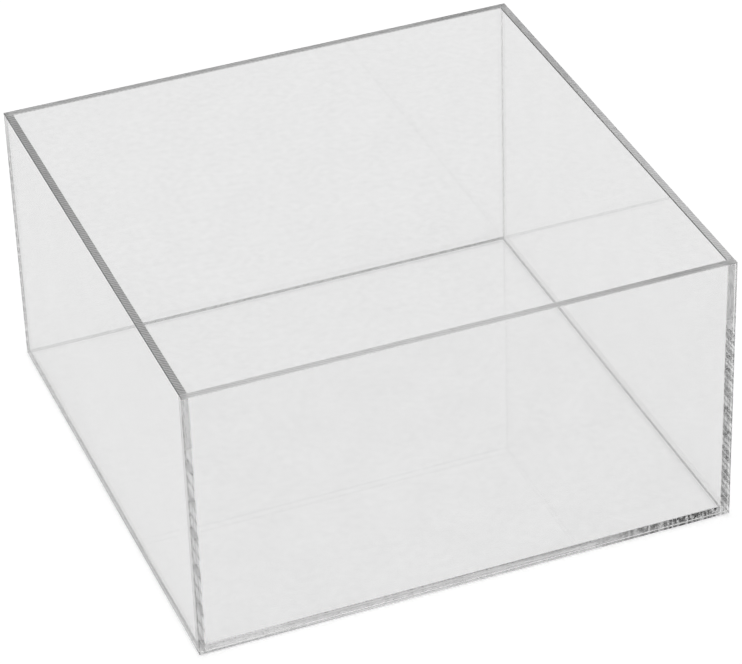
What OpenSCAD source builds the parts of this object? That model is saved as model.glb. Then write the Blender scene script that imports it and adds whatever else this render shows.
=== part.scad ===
// Open-topped display and storage box of clear acrylic sheet.
// Five flat panels with polished edges, butted together and cemented:
// the front and back run the full width and to the table, the sides stand
// between them, and the base sits inside all four walls.
// The origin is the centre of the underside, +Z up, the front faces -Y.

/* [Box] */
// Width across the front, outside
box_w = 203; // [120:1:320]
// Depth from front to back, outside
box_d = 203; // [120:1:320]
// Height from the table to the rim
box_h = 108; // [50:1:220]

/* [Sheet] */
// Thickness of the front and back panels
face_t = 3; // [2:0.5:8]
// Thickness of the left and right panels
side_t = 3; // [2:0.5:8]
// Thickness of the base panel
base_t = 3; // [2:0.5:8]
// Width of the eased arris along every outer edge and round the rim
ease = 0.25; // [0.1:0.05:0.5]

/* [Cement] */
// Thickness of the cement in every joint
bond_t = 0.1; // [0.05:0.05:0.3]
// How far the cement stops short of the edges of a joint
bond_inset = 0.3; // [0.1:0.1:0.6]

/* [Hidden] */

// Outer faces, measured from the centre of the box
half_w = box_w / 2;
half_d = box_d / 2;
// Inner faces of the walls
inner_w = half_w - side_t;
inner_d = half_d - face_t;
// Edges of the pieces that are cemented to those faces
base_x = inner_w - bond_t;
base_y = inner_d - bond_t;
side_y = inner_d - bond_t;
// A cut that runs off a panel goes this far past it
past = 1;
// Reach of the bar that cuts an arris, out from the panel and to both sides
reach = 2 * ease;
// Outward slope of each arris about its own line, in degrees
NEAR_TOP = 45;
FAR_TOP = 135;
FAR_BOTTOM = 225;
NEAR_BOTTOM = 315;

// Bar along +X whose lower face is the eased arris, turned about its line
module arris_bar(length, slope) {
    rotate([slope, 0, 0])
        translate([0, -ease / sqrt(2), -reach])
            cube([length, 2 * reach, 2 * reach]);
}

module arris_x(x0, x1, y, z, slope) {
    translate([x0, y, z]) arris_bar(x1 - x0, slope);
}

module arris_y(x, y0, y1, z, slope) {
    translate([x, y0, z]) rotate([0, 0, 90]) arris_bar(y1 - y0, slope);
}

module arris_z(x, y, slope) {
    translate([x, y, -past]) rotate([0, -90, 0]) arris_bar(box_h + 2 * past, slope);
}

// Full-width panel on the -Y side, its outer arrises, ends and rim eased
module face_panel() {
    x1 = half_w + past;
    y0 = -half_d - past;
    y1 = -inner_d + past;
    difference() {
        translate([-half_w, -half_d, 0]) cube([box_w, face_t, box_h]);
        arris_x(-x1, x1, -half_d, box_h, FAR_TOP);
        arris_x(-x1, x1, -half_d, 0, FAR_BOTTOM);
        arris_y(-half_w, y0, y1, box_h, NEAR_TOP);
        arris_y(-half_w, y0, y1, 0, NEAR_BOTTOM);
        arris_y(half_w, y0, y1, box_h, FAR_TOP);
        arris_y(half_w, y0, y1, 0, FAR_BOTTOM);
        arris_z(-half_w, -half_d, FAR_TOP);
        arris_z(half_w, -half_d, FAR_BOTTOM);
        arris_x(-inner_w, inner_w, -inner_d, box_h, NEAR_TOP);
    }
}

// Side panel on the -X side, between the front and the back
module side_panel() {
    y1 = side_y + past;
    difference() {
        translate([-half_w, -side_y, 0]) cube([side_t, 2 * side_y, box_h]);
        arris_y(-half_w, -y1, y1, box_h, NEAR_TOP);
        arris_y(-half_w, -y1, y1, 0, NEAR_BOTTOM);
        arris_y(-inner_w, -y1, y1, box_h, FAR_TOP);
    }
}

// Upright film of cement on the end of a side panel, at the front left
module corner_cement() {
    translate([-half_w + bond_inset, -inner_d, bond_inset])
        cube([side_t - 2 * bond_inset, bond_t, box_h - 2 * bond_inset]);
}

// Film of cement on an edge of the base, against the front or a side
module base_cement_x() {
    translate([-base_x, -inner_d, bond_inset])
        cube([2 * base_x, bond_t, base_t - 2 * bond_inset]);
}

module base_cement_y() {
    translate([-inner_w, -base_y, bond_inset])
        cube([bond_t, 2 * base_y, base_t - 2 * bond_inset]);
}

module base_panel() {
    color("gainsboro", 0.5)
        translate([-base_x, -base_y, 0]) cube([2 * base_x, 2 * base_y, base_t]);
}

module front_panel() {
    color("whitesmoke", 0.5) face_panel();
}

module back_panel() {
    color("whitesmoke", 0.5) mirror([0, 1, 0]) face_panel();
}

module left_panel() {
    color("lightgray", 0.5) side_panel();
}

module right_panel() {
    color("lightgray", 0.5) mirror([1, 0, 0]) side_panel();
}

module cement_front_left() {
    color("darkgray") corner_cement();
}

module cement_front_right() {
    color("darkgray") mirror([1, 0, 0]) corner_cement();
}

module cement_back_left() {
    color("darkgray") mirror([0, 1, 0]) corner_cement();
}

module cement_back_right() {
    color("darkgray") mirror([1, 0, 0]) mirror([0, 1, 0]) corner_cement();
}

module cement_base_front() {
    color("darkgray") base_cement_x();
}

module cement_base_back() {
    color("darkgray") mirror([0, 1, 0]) base_cement_x();
}

module cement_base_left() {
    color("darkgray") base_cement_y();
}

module cement_base_right() {
    color("darkgray") mirror([1, 0, 0]) base_cement_y();
}

base_panel();
front_panel();
back_panel();
left_panel();
right_panel();
cement_front_left();
cement_front_right();
cement_back_left();
cement_back_right();
cement_base_front();
cement_base_back();
cement_base_left();
cement_base_right();
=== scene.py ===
"""Open box of clear cast acrylic sheet on a pale studio floor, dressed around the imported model."""
import math

import bpy
from mathutils import Matrix, Vector


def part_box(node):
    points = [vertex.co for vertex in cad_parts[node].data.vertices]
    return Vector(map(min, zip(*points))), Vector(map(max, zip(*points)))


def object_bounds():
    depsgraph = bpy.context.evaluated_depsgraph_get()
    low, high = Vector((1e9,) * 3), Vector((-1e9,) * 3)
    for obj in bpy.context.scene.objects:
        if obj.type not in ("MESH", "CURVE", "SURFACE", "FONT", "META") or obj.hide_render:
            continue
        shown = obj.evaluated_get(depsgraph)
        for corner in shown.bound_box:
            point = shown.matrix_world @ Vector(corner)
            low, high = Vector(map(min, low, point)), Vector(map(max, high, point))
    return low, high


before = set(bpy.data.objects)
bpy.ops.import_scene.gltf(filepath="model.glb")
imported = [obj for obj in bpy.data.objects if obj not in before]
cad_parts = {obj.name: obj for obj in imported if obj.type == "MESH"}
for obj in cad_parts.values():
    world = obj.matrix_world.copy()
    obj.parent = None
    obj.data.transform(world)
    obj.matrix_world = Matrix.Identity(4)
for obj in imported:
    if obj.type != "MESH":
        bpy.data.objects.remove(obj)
cad_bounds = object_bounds()

MM = 0.001

# Planes of the box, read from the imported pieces
HALF_W, HALF_D, RIM_Z = cad_bounds[1]
INNER_W = -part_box("left_panel")[1][0]
BASE_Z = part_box("base_panel")[1][2]
# How far the cement stops short of the edges of a joint
FILM_INSET = HALF_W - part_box("cement_front_right")[1][0]
# Nearer than this to an outer plane is on it
HAIR = 0.05 * MM
# The rim and its eased arrises lie within this of the top
RIM_DEPTH = 1.0 * MM
# A face is square to an axis where its normal has more than this along it
SQUARE = 0.9
# A face looks up or down where its normal rises or falls by more than this, arrises included
STEEP = 0.5

# Camera, solved from the twelve edges of the box in the photograph
AZIMUTH = math.radians(-20.46)
ELEVATION = math.radians(34.0)
ROLL = math.radians(-1.99)
DISTANCE = 1308 * MM
AIM = Vector((-2.0, -14.9, 54.0)) * MM
# Focal length and width of the film, in millimetres
LENS = 174.65
FILM = 36.0

# Glow that makes the floor white to the camera, and the smaller one that glass and gloss see
CAMERA_LIFT = 0.3
GLASS_LIFT = 0.075
# Strength of the sky at the horizon and overhead, and as the camera sees it
SKY_RIM = 0.8
SKY_TOP = 1.0
SKY_SEEN = 1.0
# Width of the floor in metres, and how far it lies under the box
FLOOR_SIZE = 8.0
FLOOR_GAP = 0.2 * MM
# Grain of the paper on the floor, between its two tones
GRAIN_SIZE = 3.0 * MM
PAPER_DIM = "#e0e0e0"
PAPER_PALE = "#f0f0f0"

# Cast acrylic: clear sheet, with its edges milled to a fine satin
ACRYLIC_IOR = 1.49
POLISHED_ROUGHNESS = 0.0
MILLED_ROUGHNESS = 0.28
# Faint wiping smears and handling marks on the faces, between two tones
SMEAR_SIZE = 22 * MM
CLEAR_TONE = "#ffffff"
SMEAR_TONE = "#fafafa"
# Milling marks run aslant over the rim, this far from one to the next
MARK_PITCH = 1.2 * MM
# Radians that the wave texture's diagonal bands turn by over each unit of x + y
WAVE_TURN = 10
# Saw chatter on the lower edges, drawn as blotches whose darkness is partly painted shade, and the
# noise where it starts and where it is deepest
CHATTER_SIZE = 1.3 * MM
CHATTER_FROM = 0.42
CHATTER_TO = 0.62

# Bubbles in the cement, drawn as coarse as they need to be to show
BUBBLE_SIZE = 1.1 * MM
# Share of the real height that the bubbles' pattern sees, which draws them out into tall streaks
BUBBLE_HEIGHT = 0.3
# Noise where a streak starts and where it is cloudiest
BUBBLE_FROM = 0.46
BUBBLE_TO = 0.54
# The base's front joint runs thin from here to the right, more and more over the fade
THIN_FROM = 45 * MM
THIN_FADE = 40 * MM

# Tones of each wall's rim, the marks on it, its lower edge and the chatter there, all tints on one
# clear sheet
# The darker rims of the back and left walls are painted shade, and the left wall's edges are the
# dullest
# The saw chatter is real, and its depth on each wall is partly painted shade; it shows most on the
# right wall
WALL_TONES_AND_SHADE = {
    "front": ("#ffffff", "#d8d8d8", "#e4e4e4", "#c4c4c4"),
    "back": ("#c0c0c0", "#a0a0a0", "#e4e4e4", "#c4c4c4"),
    "left": ("#d4d4d4", "#808080", "#e0e0e0", "#909090"),
    "right": ("#ffffff", "#c8c8c8", "#ffffff", "#8c8c8c"),
}
# The base has no rim, and its underside is as clear as its other faces
BASE_TONES = (CLEAR_TONE, CLEAR_TONE, CLEAR_TONE, SMEAR_TONE)
# Clear and cloudy tones of the cement, where it lies even and where it ran thin
EVEN_TONES = ("#f0f0f0", "#e0e0e0")
BUBBLY_TONES = ("#f4f4f4", "#989898")

# Bounces of light, as it goes round inside the walls many times
LONG_PATH = 64

# Places of the two colour inputs and the colour output on a mix node
MIX_A = 6
MIX_B = 7
MIX_RESULT = 2


def linear(code):
    """Linear colour of an sRGB hex code."""
    parts = [int(code[i:i + 2], 16) / 255 for i in (1, 3, 5)]
    return [p / 12.92 if p <= 0.04045 else ((p + 0.055) / 1.055) ** 2.4 for p in parts] + [1.0]


def add(tree, kind, inputs=None, **settings):
    """Add a node with its settings, each input set to a value or linked to a socket or a node."""
    node = tree.nodes.new(kind)
    for name, value in settings.items():
        setattr(node, name, value)
    for key, value in (inputs or {}).items():
        if isinstance(value, bpy.types.Node):
            value = value.outputs[0]
        if isinstance(value, bpy.types.NodeSocket):
            tree.links.new(value, node.inputs[key])
        else:
            node.inputs[key].default_value = value
    return node


def new_material(name):
    """Empty node material, its tree and its output node."""
    made = bpy.data.materials.new(name)
    made.use_nodes = True
    made.node_tree.nodes.clear()
    return made, made.node_tree, add(made.node_tree, "ShaderNodeOutputMaterial")


def surface_place(tree):
    """Object position, true normal, and the position within the plane of the face."""
    place = add(tree, "ShaderNodeTexCoord").outputs["Object"]
    normal = add(tree, "ShaderNodeNewGeometry").outputs["True Normal"]
    facing = add(tree, "ShaderNodeVectorMath", {0: normal}, operation="ABSOLUTE")
    along = add(tree, "ShaderNodeVectorMath", {0: (1.0, 1.0, 1.0), 1: facing}, operation="SUBTRACT")
    flat = add(tree, "ShaderNodeVectorMath", {0: place, 1: along}, operation="MULTIPLY")
    return place, normal, flat


def bonded_faces(tree, place, normal):
    """One where a face is bonded to its neighbour, so that light goes straight through.

    The cement stops short of a joint's edges, and the groove that is left there stays open.
    """
    folded = add(tree, "ShaderNodeVectorMath", {0: place}, operation="ABSOLUTE")
    x, y, z = add(tree, "ShaderNodeSeparateXYZ", {0: folded}).outputs
    facing = add(tree, "ShaderNodeVectorMath", {0: normal}, operation="ABSOLUTE")
    facing_x, facing_y, _ = add(tree, "ShaderNodeSeparateXYZ", {0: facing}).outputs
    square_x = add(tree, "ShaderNodeMath", {0: facing_x, 1: SQUARE}, operation="GREATER_THAN")
    square_y = add(tree, "ShaderNodeMath", {0: facing_y, 1: SQUARE}, operation="GREATER_THAN")
    within_x = add(tree, "ShaderNodeMath", {0: x, 1: HALF_W - HAIR}, operation="LESS_THAN")
    within_y = add(tree, "ShaderNodeMath", {0: y, 1: HALF_D - HAIR}, operation="LESS_THAN")
    base_edge = add(tree, "ShaderNodeMath",
                    {0: z, 1: BASE_Z / 2, 2: BASE_Z / 2 - FILM_INSET}, operation="COMPARE")
    upright = add(tree, "ShaderNodeMath",
                  {0: z, 1: RIM_Z / 2, 2: RIM_Z / 2 - FILM_INSET}, operation="COMPARE")
    side_end = add(tree, "ShaderNodeMath",
                   {0: x, 1: (HALF_W + INNER_W) / 2, 2: (HALF_W - INNER_W) / 2 - FILM_INSET},
                   operation="COMPARE")
    corner = add(tree, "ShaderNodeMath", {0: side_end, 1: upright}, operation="MULTIPLY")
    reach_y = add(tree, "ShaderNodeMath", {0: corner, 1: base_edge}, operation="MAXIMUM")
    inner_y = add(tree, "ShaderNodeMath", {0: square_y, 1: within_y}, operation="MULTIPLY")
    inner_x = add(tree, "ShaderNodeMath", {0: square_x, 1: within_x}, operation="MULTIPLY")
    joint_y = add(tree, "ShaderNodeMath", {0: inner_y, 1: reach_y}, operation="MULTIPLY")
    joint_x = add(tree, "ShaderNodeMath", {0: inner_x, 1: base_edge}, operation="MULTIPLY")
    return add(tree, "ShaderNodeMath", {0: joint_x, 1: joint_y}, operation="MAXIMUM")


def cast_acrylic(name, edge_roughness, rim, rim_mark, foot, chatter_and_shade):
    """Clear cast acrylic sheet, with its rim and lower edge worked to the given roughness.

    Cast sheet gives clear faces with faint smears. Milling leaves a satin rim with fine slanting
    marks, and sawing leaves a rough lower edge with chatter.
    The given tones tint the rim and lower edge darker, painted shade for the grey that they show all
    through the wall.
    """
    made, tree, out = new_material(name)
    place, normal, flat = surface_place(tree)
    height = add(tree, "ShaderNodeSeparateXYZ", {0: place}).outputs[2]
    rise = add(tree, "ShaderNodeSeparateXYZ", {0: normal}).outputs[2]
    up = add(tree, "ShaderNodeMath", {0: rise, 1: STEEP}, operation="GREATER_THAN")
    high = add(tree, "ShaderNodeMath", {0: height, 1: RIM_Z - RIM_DEPTH}, operation="GREATER_THAN")
    on_rim = add(tree, "ShaderNodeMath", {0: up, 1: high}, operation="MULTIPLY")
    on_foot = add(tree, "ShaderNodeMath", {0: rise, 1: -STEEP}, operation="LESS_THAN")
    smears = add(tree, "ShaderNodeTexNoise",
                 {"Vector": flat, "Scale": 1 / SMEAR_SIZE, "Detail": 4.0})
    marks = add(tree, "ShaderNodeTexWave",
                {"Vector": flat, "Scale": math.tau / (WAVE_TURN * MARK_PITCH * math.sqrt(2)),
                 "Distortion": 3.0, "Detail": 3.0, "Detail Scale": 1.5},
                wave_type="BANDS", bands_direction="DIAGONAL")
    chips = add(tree, "ShaderNodeTexNoise",
                {"Vector": flat, "Scale": 1 / CHATTER_SIZE, "Detail": 5.0, "Roughness": 0.7})
    bite = add(tree, "ShaderNodeMapRange",
               {"Value": chips, "From Min": CHATTER_FROM, "From Max": CHATTER_TO})
    face_tone = add(tree, "ShaderNodeMix",
                    {0: smears, MIX_A: linear(CLEAR_TONE), MIX_B: linear(SMEAR_TONE)},
                    data_type="RGBA")
    # Rim and lower-edge tones: painted shade that sets how dark each wall's rim and lower edge look,
    # over the real milling marks and saw chatter
    rim_tone = add(tree, "ShaderNodeMix",
                   {0: marks.outputs["Fac"], MIX_A: linear(rim), MIX_B: linear(rim_mark)},
                   data_type="RGBA")
    foot_tone = add(tree, "ShaderNodeMix",
                    {0: bite, MIX_A: linear(foot), MIX_B: linear(chatter_and_shade)}, data_type="RGBA")
    dressed = add(tree, "ShaderNodeMix",
                  {0: on_rim, MIX_A: face_tone.outputs[MIX_RESULT],
                   MIX_B: rim_tone.outputs[MIX_RESULT]}, data_type="RGBA")
    tone = add(tree, "ShaderNodeMix",
               {0: on_foot, MIX_A: dressed.outputs[MIX_RESULT],
                MIX_B: foot_tone.outputs[MIX_RESULT]}, data_type="RGBA")
    clear = add(tree, "ShaderNodeBsdfPrincipled",
                {"Base Color": tone.outputs[MIX_RESULT], "Roughness": edge_roughness,
                 "IOR": ACRYLIC_IOR, "Transmission Weight": 1.0})
    if edge_roughness != POLISHED_ROUGHNESS:
        worked = add(tree, "ShaderNodeMath", {0: on_rim, 1: on_foot}, operation="MAXIMUM")
        satin = add(tree, "ShaderNodeMath", {0: worked, 1: edge_roughness}, operation="MULTIPLY")
        tree.links.new(satin.outputs[0], clear.inputs["Roughness"])
    through = add(tree, "ShaderNodeBsdfTransparent")
    bonded = bonded_faces(tree, place, normal)
    shader = add(tree, "ShaderNodeMixShader", {0: bonded, 1: clear, 2: through})
    tree.links.new(shader.outputs[0], out.inputs["Surface"])
    return made


def acrylic_cement(name, clear, cloudy, thin_from):
    """Set acrylic cement, which ran thin to the right of the given place.

    It is a thin grey film between the sheets, and small bubbles streak it where it is thin.
    """
    made, tree, out = new_material(name)
    place, _, flat = surface_place(tree)
    tall = add(tree, "ShaderNodeVectorMath", {0: flat, 1: (1.0, 1.0, BUBBLE_HEIGHT)},
               operation="MULTIPLY")
    bubbles = add(tree, "ShaderNodeTexNoise",
                  {"Vector": tall, "Scale": 1 / BUBBLE_SIZE, "Detail": 4.0, "Roughness": 0.65})
    cloud = add(tree, "ShaderNodeMapRange",
                {"Value": bubbles, "From Min": BUBBLE_FROM, "From Max": BUBBLE_TO})
    across = add(tree, "ShaderNodeSeparateXYZ", {0: place}).outputs[0]
    thin = add(tree, "ShaderNodeMapRange",
               {"Value": across, "From Min": thin_from, "From Max": thin_from + THIN_FADE})
    streaks = add(tree, "ShaderNodeMath", {0: cloud, 1: thin}, operation="MULTIPLY")
    tone = add(tree, "ShaderNodeMix", {0: streaks, MIX_A: linear(clear), MIX_B: linear(cloudy)},
               data_type="RGBA")
    film = add(tree, "ShaderNodeBsdfTransparent", {"Color": tone.outputs[MIX_RESULT]})
    tree.links.new(film.outputs[0], out.inputs["Surface"])
    return made


def studio_floor():
    """Pale paper with a faint grain, white to the camera."""
    made, tree, out = new_material("pale_paper")
    place = add(tree, "ShaderNodeTexCoord").outputs["Object"]
    grain = add(tree, "ShaderNodeTexNoise",
                {"Vector": place, "Scale": 1 / GRAIN_SIZE, "Detail": 3.0})
    tone = add(tree, "ShaderNodeMix",
               {0: grain, MIX_A: linear(PAPER_DIM), MIX_B: linear(PAPER_PALE)}, data_type="RGBA")
    paper = add(tree, "ShaderNodeBsdfDiffuse", {"Color": tone.outputs[MIX_RESULT]})
    ray = add(tree, "ShaderNodeLightPath").outputs
    glassy = add(tree, "ShaderNodeMath", {0: ray["Is Glossy Ray"], 1: ray["Is Transmission Ray"]},
                 operation="MAXIMUM")
    to_glass = add(tree, "ShaderNodeMath", {0: glassy, 1: GLASS_LIFT}, operation="MULTIPLY")
    to_camera = add(tree, "ShaderNodeMath", {0: ray["Is Camera Ray"], 1: CAMERA_LIFT},
                    operation="MULTIPLY")
    lift = add(tree, "ShaderNodeMath", {0: to_glass, 1: to_camera}, operation="ADD")
    glow = add(tree, "ShaderNodeEmission", {"Strength": lift})
    both = add(tree, "ShaderNodeAddShader", {0: paper, 1: glow})
    tree.links.new(both.outputs[0], out.inputs["Surface"])
    bpy.ops.mesh.primitive_plane_add(size=FLOOR_SIZE, location=(0, 0, -FLOOR_GAP))
    floor = bpy.context.object
    floor.name = "floor"
    floor.data.materials.append(made)


def studio_world():
    """Soft light from all round, a little stronger from above, and white to the camera."""
    world = bpy.data.worlds.new("studio")
    world.use_nodes = True
    tree = world.node_tree
    tree.nodes.clear()
    way = add(tree, "ShaderNodeTexCoord").outputs["Generated"]
    rise = add(tree, "ShaderNodeSeparateXYZ", {0: way}).outputs[2]
    level = add(tree, "ShaderNodeMapRange", {"Value": rise, "To Min": SKY_RIM, "To Max": SKY_TOP})
    seen = add(tree, "ShaderNodeLightPath").outputs["Is Camera Ray"]
    strength = add(tree, "ShaderNodeMix", {"Factor": seen, "A": level, "B": SKY_SEEN})
    sky = add(tree, "ShaderNodeBackground", {"Color": linear("#ffffff"), "Strength": strength})
    add(tree, "ShaderNodeOutputWorld", {"Surface": sky})
    bpy.context.scene.world = world


def studio_camera():
    """Camera at the photograph's viewing angle."""
    back = Vector((math.sin(AZIMUTH) * math.cos(ELEVATION),
                   -math.cos(AZIMUTH) * math.cos(ELEVATION),
                   math.sin(ELEVATION)))
    level_right = Vector((0, 0, 1)).cross(back).normalized()
    level_up = back.cross(level_right)
    right = level_right * math.cos(ROLL) + level_up * math.sin(ROLL)
    up = level_up * math.cos(ROLL) - level_right * math.sin(ROLL)
    data = bpy.data.cameras.new("camera")
    data.sensor_width = FILM
    data.lens = LENS
    camera = bpy.data.objects.new("camera", data)
    turn = Matrix((right, up, back)).transposed()
    camera.matrix_world = Matrix.Translation(AIM + back * DISTANCE) @ turn.to_4x4()
    bpy.context.scene.collection.objects.link(camera)
    bpy.context.scene.camera = camera


# Finish of each piece, and even cement where no other is named
# Each wall gets its own copy of the acrylic, with painted shade in its rim and lower-edge tones
finishes = {
    f"{side}_panel": cast_acrylic(f"cast_acrylic_{side}", MILLED_ROUGHNESS, *tones)
    for side, tones in WALL_TONES_AND_SHADE.items()
}
finishes["base_panel"] = cast_acrylic("cast_acrylic_base", POLISHED_ROUGHNESS, *BASE_TONES)
even_cement = acrylic_cement("acrylic_cement_even", *EVEN_TONES, -HALF_W)
finishes["cement_base_front"] = acrylic_cement("acrylic_cement_bubbly", *BUBBLY_TONES, THIN_FROM)
for name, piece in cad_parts.items():
    piece.data.materials.clear()
    piece.data.materials.append(finishes.get(name, even_cement))

studio_floor()
studio_world()
studio_camera()

# Render settings that are part of the look
scene = bpy.context.scene
scene.view_settings.view_transform = "Standard"
scene.cycles.blur_glossy = 0.0
scene.cycles.max_bounces = LONG_PATH
scene.cycles.glossy_bounces = LONG_PATH
scene.cycles.transmission_bounces = LONG_PATH
scene.cycles.transparent_max_bounces = LONG_PATH
